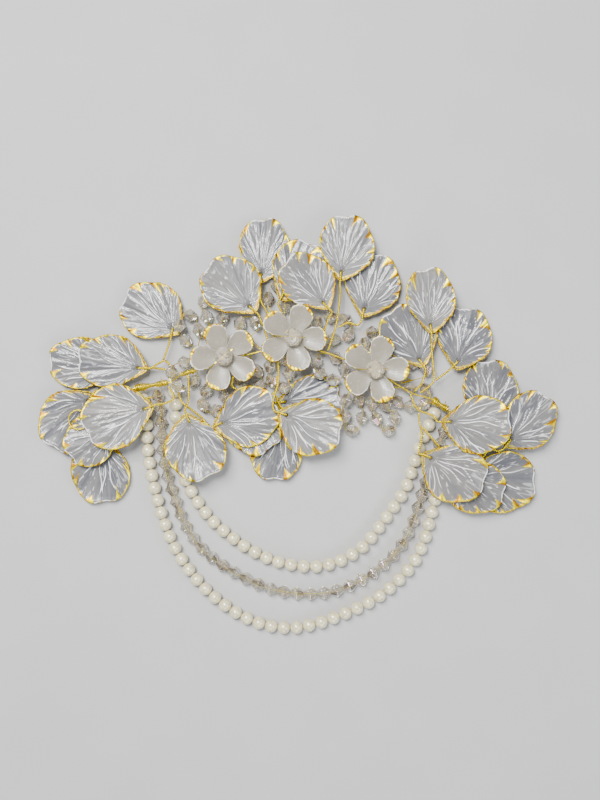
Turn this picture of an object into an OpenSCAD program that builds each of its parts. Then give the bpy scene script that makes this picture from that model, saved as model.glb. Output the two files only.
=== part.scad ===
// Draped hair vine: a wired headpiece of frosted petals, flowers and cut
// crystals on a gold wire spine, with two strings of pearls and one of
// crystals draped below it. It lies on a table and is seen from above:
// X runs along the spine, Y away from the strands, Z up from the table.

/* [Petals] */
// Length of a petal from its wire hole to the notch at its far edge
petal_len = 24.9; // [23:0.1:25.5]
// Thickness of a petal
petal_wall = 0.8; // [0.6:0.05:0.9]
// Height of a petal's rim above its middle
petal_cup = 1.6; // [1.2:0.1:1.8]
// Depth of the folds along a petal's rim
petal_fold = 0.45; // [0.2:0.05:0.6]
// Diameter of the hole that the wire goes through
petal_hole = 1.7; // [1.6:0.05:1.9]

/* [Flowers] */
// Width of a flower across its lobes
flower_d = 29.5; // [27:0.5:30]
// Thickness of a flower
flower_wall = 0.9; // [0.7:0.1:1]
// Height of a flower's rim above its middle
flower_cup = 2.4; // [1.5:0.1:3]
// Width of the faceted bead in a flower
centre_bead_d = 8; // [7:0.1:8.2]

/* [Beads] */
// Diameter of a pearl
pearl_d = 5.9; // [5.6:0.05:6]
// Length of a pearl between its flats
pearl_len = 5.3; // [5:0.05:5.35]
// Distance from one pearl to the next
pearl_pitch = 5.65; // [5.65:0.05:5.8]
// Width of a crystal over its girdle
crystal_d = 6; // [5.6:0.1:6]
// Length of a crystal between its tables
crystal_len = 5.7; // [5.2:0.05:5.7]
// Distance from one crystal to the next in the strand
crystal_pitch = 5.95; // [5.95:0.05:6.1]
// Diameter of the hole through a pearl or a crystal
bore_d = 1.1; // [1:0.05:1.2]

/* [Wires] */
// Diameter of the spine
spine_d = 1; // [0.8:0.05:1.1]
// Diameter of a twisted stem
stem_d = 0.8; // [0.6:0.05:0.85]
// Diameter of the fine wire that holds crystals and flowers
fine_d = 0.44; // [0.3:0.02:0.5]
// Diameter of the thread in a strand
thread_d = 0.4; // [0.3:0.05:0.45]
// Radius of the pin loop at each end of the spine
pin_loop_r = 4.2; // [3.8:0.1:4.4]

/* [Hidden] */
frost = [0.86, 0.87, 0.9];
clear = [0.9, 0.92, 0.93];
ivory = [0.95, 0.93, 0.88];
gold = [0.85, 0.68, 0.25];
thread_gold = [0.88, 0.82, 0.66];
WIRE_SIDES = 5;

// Outline of a petal around its hole, seen from above.
// Columns: angle clockwise from the notch, reach as a share of petal_len
PETAL_OUTLINE = [
  [-165, 0.14], [-112, 0.13], [-80, 0.2], [-65, 0.29], [-53, 0.5], [-42, 0.69],
  [-29, 0.85], [-15, 0.97], [-3, 0.955], [9, 1.01], [18, 0.985], [29, 0.885],
  [41, 0.8], [53, 0.69], [66, 0.55], [80, 0.34], [112, 0.18]
];
PETAL_BANDS = [0, 0.32, 0.68, 1];

// Where each petal is pinned. pitch raises its far edge, roll raises its left side.
// Columns: name, hole x, hole y, hole z, heading, pitch, roll, size, breadth
PETALS = [
  ["petal_left_1", -82.7, 25, 4.2, 172, -4, 0, 1.09, 0.84],
  ["petal_left_2", -69.6, 25.4, 7.6, 171, -1, 0, 1.07, 0.87],
  ["petal_left_3", -91.9, 11.1, 5.6, 231, -3, 0, 1.05, 1],
  ["petal_left_4", -66.4, 7.5, 10.6, 200, 2, 0, 1.1, 1],
  ["petal_left_5", -85.4, -8.4, 3.4, 268, -4, 0, 1.04, 1],
  ["petal_left_6", -54.6, 43.1, 4.6, 147, -5, 0, 1.04, 1],
  ["petal_left_7", -47, 1.9, 9.9, 288, -1, 0, 1.04, 1],
  ["petal_left_8", -81.1, -1.2, 6.8, 212, -2, 0, 0.9, 1],
  ["petal_top_1", -15.9, 66.9, 4, 87, -4, 0, 1, 0.9],
  ["petal_top_2", -20.8, 52.4, 8.6, 136, 0, 0, 1.02, 1],
  ["petal_top_3", -5.6, 58.5, 7.2, 61, -5, 0, 1, 1],
  ["petal_top_4", 11.4, 53.8, 11, 131, 1, 0, 0.98, 0.93],
  ["petal_top_5", 19.3, 67.3, 8.6, 83, -2, 0, 1.01, 0.95],
  ["petal_top_6", 29.5, 51.6, 5, 77, -4, 0, 1, 1],
  ["petal_right_1", 58.1, 44, 10.5, 94, -2, 0, 1, 0.85],
  ["petal_right_2", 53.6, 29.2, 7.4, 119, -1, 0, 1.01, 0.95],
  ["petal_right_3", 70.5, 28.1, 6.6, 80, -5, 0, 0.98, 1],
  ["petal_right_4", 84, 3.5, 4.8, 88, -5, 0, 1.03, 0.95],
  ["petal_right_5", 93.5, -6.1, 7.4, 49, -6, 0, 1.02, 0.9],
  ["petal_right_6", 66.7, 2, 11.5, -1, 0, 0, 1.05, 0.96],
  ["petal_right_7", 58.1, -13.8, 10.5, -26, -2, 0, 1.05, 1],
  ["petal_right_8", 67.3, -20.7, 7.4, -24, -4, 0, 1.03, 0.92],
  ["petal_right_9", 78.3, -22, 3.2, -7, -2, 0, 1.1, 1],
  ["petal_front_1", -33, 1.3, 8.2, 19, -1, 0, 1.03, 1],
  ["petal_front_2", -4.7, 4.9, 11, -20, -1, 0, 1.02, 1],
  ["petal_front_3", -5.3, 10.6, 3.4, 3, -3, 0, 1, 1],
  ["petal_front_4", -6.2, 0.4, 4, 259, -4, 0, 1, 0.95],
  ["petal_front_5", -24, 11.2, 6.2, 298, -2, 0, 1, 1]
];

// Flowers. Columns: name, x, y, z, turn
FLOWERS = [
  ["left", -31.7, 30.2, 10.4, 39],
  ["middle", -1.9, 38.6, 10.4, -4],
  ["right", 33.9, 24.7, 10.4, 0]
];
LOBES = 5;
// One lobe's outline. Columns: angle from the lobe's middle, reach as a share of flower_d
LOBE_OUTLINE = [
  [-36, 0.16], [-31, 0.3], [-24, 0.42], [-12, 0.485], [0, 0.5], [12, 0.49], [24, 0.43], [31, 0.31]
];
FLOWER_BANDS = [0, 0.5, 1];
flower_hole = 1.2;
bead_lift = 0.4;

// Crystals on wire loops. A loop's two wires leave the spine side by side, part at
// the neck and thread the crystals in turn. Columns: foot, neck, crystals' centres
LOOPS_LEFT = [
  [[-44.6, 25.6, 7.7], [-44.4, 25.4, 6.6],
    [[-45.8, 19.8, 4.2], [-51.6, 17.2, 10.6], [-54.8, 23.6, 10], [-49.6, 28, 5.6]]],
  [[-36.4, 25.2, 7.9], [-37.4, 19.8, 5.6],
    [[-40.4, 15.6, 4.6], [-41.6, 9.2, 4.6], [-35.6, 6.8, 4.4], [-32, 12.8, 4.4]]],
  [[-39.8, 26.8, 7.9], [-43.8, 35.4, 5.6],
    [[-49.4, 37.8, 4], [-51.6, 44, 9.4], [-47.2, 48.8, 4.6], [-43.4, 42.2, 4.6]]],
  [[-34.6, 28.6, 7.9], [-36.2, 41.4, 5],
    [[-40, 48.2, 4.6], [-41.2, 55, 4.4], [-34.8, 54.8, 4.4], [-33, 47.8, 4.6]]]
];
LOOPS_MIDDLE = [
  [[-16, 33.6, 7.8], [-21.6, 38.8, 5.8], [[-25.2, 45.2, 4.6], [-18.4, 45.4, 4.6]]],
  [[-6.4, 35.4, 7.8], [-9.2, 48, 5],
    [[-12.8, 56.2, 3.2], [-8.6, 61.6, 3.2], [-5.4, 53, 3.1]]],
  [[6.6, 34.6, 7.8], [11, 40, 6],
    [[8.6, 45.4, 4.6], [14.6, 48.2, 4.6], [21.6, 46.8, 4.6], [22.6, 40.2, 4.6], [16.2, 38.4, 4.6]]],
  [[12.4, 32.2, 7.8], [12.6, 31.8, 6.6],
    [[8.4, 28.8, 4], [9.8, 23.2, 7], [15.8, 20.2, 7.4], [20.8, 24.8, 4.6], [17, 30, 4.2]]],
  [[-20.6, 30.8, 7.8], [-21.4, 27, 6],
    [[-26, 21.8, 4.4], [-22.8, 16, 3.4], [-16.6, 17.6, 3.6], [-17.6, 24.2, 4.4]]],
  [[-8.2, 33.4, 7.8], [-8.6, 31.8, 6.6],
    [[-12, 26.4, 4.6], [-11.2, 19.8, 4.4], [-5.6, 16.8, 6.7], [-3.6, 23, 4.4], [-5.2, 29.2, 4.6]]]
];
LOOPS_RIGHT = [
  [[31, 24.4, 7.8], [25.2, 15.6, 5.8],
    [[21.4, 11.4, 6.6], [20.9, 4.6, 7.2], [24.2, -1.8, 4], [28.6, 3.8, 4.8], [27.2, 11.6, 4.4]]],
  [[38.4, 20.4, 7.8], [36, 14.4, 5.8],
    [[33, 10, 3.6], [35, 3.4, 4.4], [40.2, -1.8, 4.4], [43, 3.8, 4.4], [38.6, 9.4, 5.6]]],
  [[43.4, 17.2, 7.7], [42.2, 16.4, 6.6],
    [[44.4, 10.6, 4.4], [50.2, 8.6, 4], [56.4, 9.8, 3.6], [57, 16, 3.8], [49.8, 16.8, 3.8]]],
  [[45.6, 18.8, 8.2], [51, 20.2, 6],
    [[45.2, 24.6, 4.2], [51, 27.6, 3.6], [57.2, 25, 4.2]]],
  [[35.4, 24.6, 7.8], [35, 31.4, 5.4],
    [[30, 36, 3.8], [33.4, 41.4, 3.4], [38.2, 36.8, 3.4]]]
];
loop_gap = 0.9;

// Routes of the strands, left end first
INNER_ROUTE = [
  [-54.4, 15], [-53.7, 9.4], [-53.6, 0], [-53, -10.6], [-50.2, -22], [-45.6, -31.2], [-39.4, -40],
  [-31.3, -47.5], [-22.3, -53.9], [-12.4, -58.9], [-1.8, -61.6], [9.3, -62.2], [19.8, -59.4],
  [29.2, -53.4], [35.8, -45.5], [41.9, -37], [47.6, -28.4], [51.4, -18], [54.6, -8.3], [58.8, 1.4], [61.4, 7]
];
MIDDLE_ROUTE = [
  [-61.6, 13], [-60.3, 4], [-59.7, -9.6], [-57.4, -22.2], [-53.9, -32.8], [-49.8, -43.6], [-43, -53.6],
  [-33.7, -61.4], [-23.5, -67.3], [-12.9, -71.9], [-1.5, -74.2], [11.1, -74.2], [22.5, -71.2],
  [33.3, -65.2], [42.3, -57.8], [48.8, -48.4], [53, -37.7], [56.6, -26.2], [60.6, -14], [65, -3], [67.6, 3.6]
];
OUTER_ROUTE = [
  [-68.2, 11.6], [-66.8, 5.4], [-66.5, -4], [-65.9, -13], [-64.3, -22.4], [-62, -32.4], [-59, -42.6],
  [-54.8, -52.8], [-49, -62.2], [-42, -70.8], [-33.8, -78], [-24.4, -84.2], [-13.5, -88.2],
  [-2.6, -89.4], [8.2, -87.6], [18.7, -84], [28.8, -79.6], [38, -74.2], [46, -67.2], [52.6, -59],
  [56.8, -49], [59.6, -38.4], [62.6, -27.4], [66.6, -16.4], [70.8, -7.4], [74, -1]
];
// Height of the bead centres
strand_z = 3;
// Columns: tie at the left end, tie at the right end
INNER_TIES = [[-56.2, 17.6, 5.6], [61.2, 8.6, 5.6]];
MIDDLE_TIES = [[-62.4, 16.2, 5.2], [66.2, 6.6, 5.4]];
OUTER_TIES = [[-68.8, 14.8, 5], [74.2, 3.4, 5.2]];

// Route of the spine between its two pin loops, left end first
SPINE_ROUTE = [
  [-91.4, 6.4, 9.2], [-82, 12.4, 9], [-72.2, 16.3, 7.6], [-60.5, 18.6, 7.2], [-55.4, 19.4, 7.2],
  [-50.4, 22.8, 7.9], [-44, 24.4, 8.6], [-31.7, 28.4, 8.9], [-17, 32.4, 8.9], [-2.2, 35.4, 8.9],
  [11, 32.6, 8.9], [23.3, 28.2, 8.9], [34.8, 23.6, 8.9], [45.3, 17.2, 8.6], [51.3, 14, 7.9],
  [58.5, 12, 7.4], [65.1, 7.9, 7.2], [73.9, 1, 8.2], [79.4, -3.8, 8.6]
];
// Columns: x, y, z, angle where the loop meets the spine, angle where it ends
PIN_LOOPS = [[-95.6, 2.8, 9.2, 40, 345], [85, -3.4, 8.7, 215, 540]];
COIL_LEFT = [[-71.4, 16.5, 7.55], [-56.6, 19.2, 7.2]];
COIL_RIGHT = [[59.4, 11.6, 7.35], [66, 7.2, 7.25]];

// Stems, each from its foot near the spine to the petal that it carries.
// Columns: petal's name, points of the route from the foot, turn of the hook round the
// hole where the stem comes in from the side
STEMS_LEFT = [
  ["petal_left_1", [[-53.8, 21.6, 6.2], [-57.4, 24.6, 5.4], [-66, 25.8, 4.6], [-73, 26, 4.4]], 8],
  ["petal_left_2", [[-53.4, 22.9, 6.4], [-57.4, 28.4, 6.8], [-60.8, 27.4, 7.8]], 9],
  ["petal_left_3", [[-63.4, 12.6, 7.4], [-72, 11.6, 7.4], [-80, 13, 6.9], [-85.6, 15.4, 6.2]]],
  ["petal_left_4", [[-56.2, 17.2, 8.1], [-53.8, 12.6, 8.8], [-57, 10.1, 9.6]]],
  ["petal_left_5", [[-72.6, 10.2, 7.2], [-78.6, 6, 6.2], [-84, 1, 4.4]]],
  ["petal_left_6", [[-58.8, 29.2, 5.8], [-57.2, 33.8, 5.4]], -71],
  ["petal_left_7", [[-47.6, 22.3, 9.2], [-47.2, 15, 9.6], [-47.8, 9.6, 9.8]]],
  ["petal_left_8", [[-72.4, 8.8, 7.9], [-73.6, 5, 7.8]]]
];
STEMS_TOP = [
  ["petal_top_1", [[-8.6, 36, 8.3], [-11.8, 44, 8], [-13, 49.6, 8], [-15.8, 54.8, 6.8], [-15.9, 59, 5.2]]],
  ["petal_top_2", [[-11.8, 34.4, 8.8], [-14.4, 42.6, 8.4], [-15.9, 46.2, 8.5]]],
  ["petal_top_3", [[-3.4, 36.8, 8.3], [-4.6, 45, 8.4], [-7, 50.4, 8.2]]],
  ["petal_top_4", [[8.2, 34.6, 8.8], [11.6, 41, 8.6], [13.8, 47.4, 9.8]]],
  ["petal_top_5", [[13.6, 33.2, 9.2], [16.6, 42.2, 8.6], [18, 49.2, 8.2], [18.8, 57.4, 8.4]]],
  ["petal_top_6", [[18.4, 43.4, 8.4], [22.4, 45.2, 8.6], [26.4, 44.2, 7]]]
];
STEMS_RIGHT = [
  ["petal_right_1", [[54, 14.6, 8.4], [58.3, 17.8, 8.4], [60, 21.3, 8.4], [58.8, 33.6, 8.8]]],
  ["petal_right_2", [[51.4, 15.2, 8.6], [54.4, 18.4, 8.3], [55.6, 21.4, 8.2]]],
  ["petal_right_3", [[60.9, 20.2, 8], [64.4, 22.7, 7.6]], -36],
  ["petal_right_4", [[79.6, -3.6, 7], [83.2, -3.6, 5.6]]],
  ["petal_right_5", [[84.4, -9.2, 8.8], [87.4, -10.8, 8.6]]],
  ["petal_right_6", [[49.6, 13.8, 9.4], [52.6, 7.4, 9.6], [59.2, 4.6, 10.4]]],
  ["petal_right_7", [[53.2, 5.6, 8.6], [53.6, 1.6, 8.4], [54.6, -4, 8.8]]],
  ["petal_right_8", [[55, -0.6, 7.4], [60.4, -6.8, 7.4], [63.4, -11.6, 7.4]]],
  ["petal_right_9", [[84, -9.4, 7.6], [81, -14.6, 5.2], [74.6, -18.6, 3.8]]]
];
STEMS_FRONT = [
  ["petal_front_1", [[-52, 14.6, 7.6], [-50.4, 10.4, 7.2], [-46.6, 7.4, 7], [-41.8, 3.6, 7]]],
  ["petal_front_2", [[-8.6, 33, 9], [-8.2, 20, 9.2], [-10.4, 10.6, 11]]],
  ["petal_front_3", [[-8.8, 22, 7.9], [-9.2, 15.8, 8.1], [-13, 12.2, 5.8]]],
  ["petal_front_4", [[-9.4, 13.4, 7], [-8, 9.6, 5.7]]],
  ["petal_front_5", [[-25.6, 28.4, 7.8], [-27.8, 22, 7.6], [-28.6, 17.6, 6.8]]]
];

// Brings the middle of the whole piece over the origin
centring = [-0.43, 0.23, 0];

// Vectors and curves
function unit(v) = v / norm(v);
function side_of(v) = unit(cross(v, abs(v.z) < 0.9 * norm(v) ? [0, 0, 1] : [1, 0, 0]));
function heading_at(p, i) = unit(p[min(i + 1, len(p) - 1)] - p[max(i - 1, 0)]);
function blend(a, b, c, d, t) =
  0.5 * (2 * b + (c - a) * t + (2 * a - 5 * b + 4 * c - d) * t ^ 2 + (3 * b - a - 3 * c + d) * t ^ 3);
function smooth(p, steps) = [
  for (i = [0:len(p) - 2]) for (j = [0:steps - 1])
    blend(p[max(i - 1, 0)], p[i], p[i + 1], p[min(i + 2, len(p) - 1)], j / steps),
  p[len(p) - 1]
];
function at_height(p, z) = [for (q = p) [q.x, q.y, z]];
function distances(p) = [
  for (i = 0, s = 0; i < len(p); i = i + 1, s = s + norm(p[min(i, len(p) - 1)] - p[i - 1])) s
];
function stretch_at(d, s, i = 0) = i >= len(d) - 2 || d[i + 1] >= s ? i : stretch_at(d, s, i + 1);
function point_at(p, d, s) =
  let (i = stretch_at(d, s)) p[i] + (p[i + 1] - p[i]) * (s - d[i]) / (d[i + 1] - d[i]);
function stations(p, pitch) =
  let (d = distances(p))
  [for (k = [0:floor(d[len(d) - 1] / pitch)]) point_at(p, d, k * pitch)];

// A round wire of diameter d swept along the points p
module wire(p, d, sides = WIRE_SIDES) {
  n = len(p);
  across = [
    for (i = 0, a = side_of(heading_at(p, 0)); i < n; i = i + 1,
      a = i < n ? unit(a - (a * heading_at(p, i)) * heading_at(p, i)) : a) a
  ];
  rings = [
    for (i = [0:n - 1]) let (a = across[i], b = cross(heading_at(p, i), a))
      for (k = [0:sides - 1]) p[i] + d / 2 * (cos(360 * k / sides) * a + sin(360 * k / sides) * b)
  ];
  walls = [
    for (i = [0:n - 2]) for (k = [0:sides - 1])
      let (m = (k + 1) % sides, here = i * sides, next = (i + 1) * sides)
      each [[here + k, next + k, next + m], [here + k, next + m, here + m]]
  ];
  ends = [[for (k = [0:sides - 1]) k], [for (k = [sides - 1:-1:0]) (n - 1) * sides + k]];
  translate(centring)
    polyhedron(rings, concat(walls, ends), convexity = 8);
}

// A plate around a hole: rows of points on rays, each ray from the hole to the rim.
// top and bottom are lists of rays, anticlockwise seen from above
module plate(top, bottom) {
  rays = len(top);
  bands = len(top[0]);
  points = concat([for (ray = top) each ray], [for (ray = bottom) each ray]);
  half = rays * bands;
  faces = [
    for (i = [0:rays - 1]) let (j = (i + 1) % rays) each concat(
      [for (k = [0:bands - 2]) [i * bands + k, j * bands + k, j * bands + k + 1, i * bands + k + 1]],
      [for (k = [0:bands - 2])
        [half + i * bands + k, half + i * bands + k + 1, half + j * bands + k + 1, half + j * bands + k]],
      [[i * bands, half + i * bands, half + j * bands, j * bands]],
      [[(i + 1) * bands - 1, (j + 1) * bands - 1, half + (j + 1) * bands - 1, half + (i + 1) * bands - 1]]
    )
  ];
  polyhedron(points, faces, convexity = 6);
}

// Petal: a cupped scallop of acrylic with folds along its rim
function petal_rise(angle, reach) =
  petal_cup * (reach / petal_len) ^ 2 + petal_fold * (reach / petal_len) ^ 3 * sin(5 * angle + 40);
function petal_rays(lift) = [
  for (row = PETAL_OUTLINE) [
    for (band = PETAL_BANDS)
      let (r = petal_hole / 2 + (row[1] * petal_len - petal_hole / 2) * band)
      [r * cos(row[0]), -r * sin(row[0]), petal_rise(row[0], r) + lift]
  ]
];
function backwards(list) = [for (i = [len(list) - 1:-1:0]) list[i]];

module petal(row) {
  color(frost)
    translate(centring + [row[1], row[2], row[3]])
      rotate([row[6], -row[5], row[4]])
        scale(row[7] * [1, row[8], 1])
          plate(backwards(petal_rays(petal_wall / 2)), backwards(petal_rays(-petal_wall / 2)));
}

// A point given beside a petal's hole, in the frame of the whole piece
function turn_z(v, a) = [v.x * cos(a) - v.y * sin(a), v.x * sin(a) + v.y * cos(a), v.z];
function turn_y(v, a) = [v.x * cos(a) + v.z * sin(a), v.y, v.z * cos(a) - v.x * sin(a)];
function on_petal(row, v) = [row[1], row[2], row[3]] + turn_z(turn_y(v, -row[5]), row[4]);
function petal_named(name) = [for (row = PETALS) if (row[0] == name) row][0];

// Hook of a stem: over the petal's narrow end, down through its hole and back below
HOOK = [
  [-5.6, 0, 0.5], [-3.6, 0, 1.15], [-1.1, 0, 1.2], [-0.1, 0, 0.7],
  [0, 0, -0.6], [-0.9, 0, -1.2], [-2.6, 0, -1.2]
];
module stem(row) {
  petal_row = petal_named(row[0]);
  turn = is_undef(row[2]) ? 0 : row[2];
  wire(concat(smooth(row[1], 2), [for (v = HOOK) on_petal(petal_row, turn_z(v, turn))]), stem_d);
}
module stems(rows) {
  color(gold)
    for (row = rows) stem(row);
}

// Flower: five cupped lobes with narrow slots between them
function lobe_rays(lift) = [
  for (lobe = [0:LOBES - 1]) for (row = LOBE_OUTLINE) [
    for (band = FLOWER_BANDS)
      let (r = flower_hole / 2 + (row[1] * flower_d - flower_hole / 2) * band, share = 2 * r / flower_d)
      [
        r * cos(row[0] + lobe * 360 / LOBES),
        r * sin(row[0] + lobe * 360 / LOBES),
        flower_cup * share ^ 2 + share * 1.2 * (row[0] / 36) ^ 2 + lift
      ]
  ]
];
module flower(row) {
  color(frost)
    translate(centring + [row[1], row[2], row[3]])
      rotate([0, 0, row[4]])
        plate(lobe_rays(flower_wall / 2), lobe_rays(-flower_wall / 2));
}

// Faceted round bead of a flower, drilled along X
bead_z = flower_wall / 2 + bead_lift + centre_bead_d / 2;
module slab(turn) {
  rotate(turn)
    cube([3 * centre_bead_d, 3 * centre_bead_d, centre_bead_d * 1.02], center = true);
}
module octagon_bar(turn) {
  rotate(turn)
    rotate([0, 0, 22.5])
      cylinder(d = centre_bead_d / cos(22.5), h = 3 * centre_bead_d, center = true, $fn = 8);
}
module centre_bead(row) {
  color(clear)
    translate(centring + [row[1], row[2], row[3] + bead_z])
      rotate([0, 0, row[4]])
        difference() {
          intersection() {
            octagon_bar([0, 0, 0]);
            octagon_bar([90, 0, 0]);
            octagon_bar([0, 90, 0]);
            slab([54.7, 0, 45]);
            slab([54.7, 0, 135]);
            slab([54.7, 0, 225]);
            slab([54.7, 0, 315]);
          }
          rotate([0, 90, 0])
            cylinder(d = bore_d, h = 2 * centre_bead_d, center = true, $fn = 24);
        }
}
// Wire of a flower: up a slot, through the bead and down again
module flower_wire(row) {
  out = centre_bead_d / 2 + 0.9;
  down = 7.6;
  profile = [
    [-down, -1.4], [-down, 3.4], [-out, bead_z], [0, bead_z], [out, bead_z], [out + 0.9, bead_z - 1.2]
  ];
  route = [for (q = profile) [row[1], row[2], row[3]] + turn_z([q.x, 0, q.y], row[4])];
  wire(route, fine_d);
}
module flower_wires() {
  color(gold)
    for (row = FLOWERS) flower_wire(row);
}

// Beads, drilled along Z
module pearl() {
  rotate_extrude($fn = 32)
    intersection() {
      circle(d = pearl_d, $fn = 32);
      translate([bore_d / 2, -pearl_len / 2])
        square([pearl_d, pearl_len]);
    }
}
module diamond_bar(turn) {
  table = 0.95;
  girdle = 0.12;
  rotate([90, 0, turn])
    linear_extrude(2 * crystal_d, center = true)
      polygon([
        [crystal_d / 2, -girdle], [crystal_d / 2, girdle], [table, crystal_len / 2],
        [-table, crystal_len / 2], [-crystal_d / 2, girdle], [-crystal_d / 2, -girdle],
        [-table, -crystal_len / 2], [table, -crystal_len / 2]
      ]);
}
module crystal() {
  difference() {
    intersection() {
      diamond_bar(0);
      diamond_bar(45);
      diamond_bar(90);
      diamond_bar(135);
    }
    cylinder(d = bore_d, h = 2 * crystal_len, center = true, $fn = 24);
  }
}
// Places a bead at a point with its hole along a direction
module along(point, v) {
  translate(centring + point)
    rotate([0, acos(v.z / norm(v)), atan2(v.y, v.x)])
      children();
}

// A strand and its thread
function strand_beads(route, pitch) = stations(smooth(at_height(route, strand_z), 4), pitch);
inner_beads = strand_beads(INNER_ROUTE, pearl_pitch);
middle_beads = strand_beads(MIDDLE_ROUTE, crystal_pitch);
outer_beads = strand_beads(OUTER_ROUTE, pearl_pitch);
module strand(centres, hue) {
  color(hue)
    for (i = [0:len(centres) - 1]) along(centres[i], heading_at(centres, i))
      children();
}
module strand_thread(centres, ties, bead_len) {
  last = len(centres) - 1;
  out = bead_len / 2 + 0.4;
  color(thread_gold)
    wire(concat(
      [ties[0], centres[0] - out * heading_at(centres, 0)],
      centres,
      [centres[last] + out * heading_at(centres, last), ties[1]]
    ), thread_d);
}

// A loop of crystals on its wire
function loop_at(row, i) = i < 0 || i >= len(row[2]) ? row[1] : row[2][i];
function loop_heading(row, i) = unit(loop_at(row, i + 1) - loop_at(row, i - 1));
function loop_exit(row, i, side) =
  let (n = i + side, reach = crystal_len / 2 + 0.4, midway = norm(loop_at(row, n) - row[2][i]) / 2 - 0.05)
  row[2][i] + side * (n < 0 || n >= len(row[2]) ? reach : min(reach, midway)) * loop_heading(row, i);
module loop_crystals(loops) {
  color(clear)
    for (row = loops) for (i = [0:len(row[2]) - 1])
      along(row[2][i], loop_heading(row, i))
        crystal();
}
module loop_wires(loops) {
  color(gold)
    for (row = loops) {
      last = len(row[2]) - 1;
      apart = loop_gap / 2 * unit(row[2][last] - row[2][0]);
      wire(concat(
        [row[0] - apart, row[1] - apart],
        [for (i = [0:last]) for (side = [-1, 1]) loop_exit(row, i, side)],
        [row[1] + apart, row[0] + apart]
      ), fine_d);
    }
}

// Spine: one wire with a pin loop at each end
function pin_loop(row, steps = 10) = [
  for (k = [0:steps])
    let (a = row[3] + (row[4] - row[3]) * k / steps)
    [row[0] + pin_loop_r * cos(a), row[1] + pin_loop_r * sin(a), row[2]]
];
module spine_wire() {
  color(gold)
    wire(concat(
      backwards(pin_loop(PIN_LOOPS[0])),
      smooth(SPINE_ROUTE, 2),
      pin_loop(PIN_LOOPS[1])
    ), spine_d);
}

// Fine wire wound round the spine where the strands are tied
module coil(ends, turns) {
  axis = unit(ends[1] - ends[0]);
  a = side_of(axis);
  b = cross(axis, a);
  per_turn = 5;
  winding_r = spine_d / 2 + fine_d + 0.3;
  color(gold)
    wire([
      for (k = [0:turns * per_turn])
        ends[0] + (ends[1] - ends[0]) * k / (turns * per_turn)
        + winding_r * (cos(360 * k / per_turn) * a + sin(360 * k / per_turn) * b)
    ], fine_d);
}

for (row = PETALS)
  petal(row);
for (row = FLOWERS) {
  flower(row);
  centre_bead(row);
}
flower_wires();
loop_crystals(LOOPS_LEFT);  // crystal_clusters_left
loop_crystals(LOOPS_MIDDLE);  // crystal_clusters_middle
loop_crystals(LOOPS_RIGHT);  // crystal_clusters_right
loop_wires(LOOPS_LEFT);  // cluster_wires_left
loop_wires(LOOPS_MIDDLE);  // cluster_wires_middle
loop_wires(LOOPS_RIGHT);  // cluster_wires_right
strand(inner_beads, ivory) pearl();  // pearls_inner
strand(middle_beads, clear) crystal();  // crystals_middle
strand(outer_beads, ivory) pearl();  // pearls_outer
strand_thread(inner_beads, INNER_TIES, pearl_len);  // thread_inner
strand_thread(middle_beads, MIDDLE_TIES, crystal_len);  // thread_middle
strand_thread(outer_beads, OUTER_TIES, pearl_len);  // thread_outer
spine_wire();
coil(COIL_LEFT, 12);  // coil_left
coil(COIL_RIGHT, 7);  // coil_right
stems(STEMS_LEFT);  // stems_left
stems(STEMS_TOP);  // stems_top
stems(STEMS_RIGHT);  // stems_right
stems(STEMS_FRONT);  // stems_front
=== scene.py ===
import math
import random

import bmesh
import bpy
import numpy
from bpy.props import FloatProperty, FloatVectorProperty, IntProperty, PointerProperty
from mathutils import Matrix, Vector, noise


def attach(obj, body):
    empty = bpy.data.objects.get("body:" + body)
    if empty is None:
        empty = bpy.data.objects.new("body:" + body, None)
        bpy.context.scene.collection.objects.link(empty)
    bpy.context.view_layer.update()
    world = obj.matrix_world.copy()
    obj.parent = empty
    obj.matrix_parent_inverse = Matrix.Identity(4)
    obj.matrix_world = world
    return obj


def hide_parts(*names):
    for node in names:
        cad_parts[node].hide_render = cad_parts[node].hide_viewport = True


bl_info = {
    "name": "Draped Hair Vine",
    "version": (1, 0, 0),
    "blender": (4, 5, 0),
    "location": "View3D > Sidebar > Hair Vine",
    "description": "Dresses a wired hair vine of frosted petals, flowers, crystals and pearls",
    "category": "Object",
}

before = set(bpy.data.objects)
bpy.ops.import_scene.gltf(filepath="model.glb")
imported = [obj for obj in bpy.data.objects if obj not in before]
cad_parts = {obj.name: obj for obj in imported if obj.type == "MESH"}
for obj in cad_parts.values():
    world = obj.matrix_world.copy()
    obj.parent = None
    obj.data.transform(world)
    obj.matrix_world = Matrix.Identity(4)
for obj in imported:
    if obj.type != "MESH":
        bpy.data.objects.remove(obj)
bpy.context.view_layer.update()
MM = 0.001
TINY = 1e-9
# Offset that centres the piece over the origin, in millimetres
CENTRING = Vector((-0.43, 0.23, 0))

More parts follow.
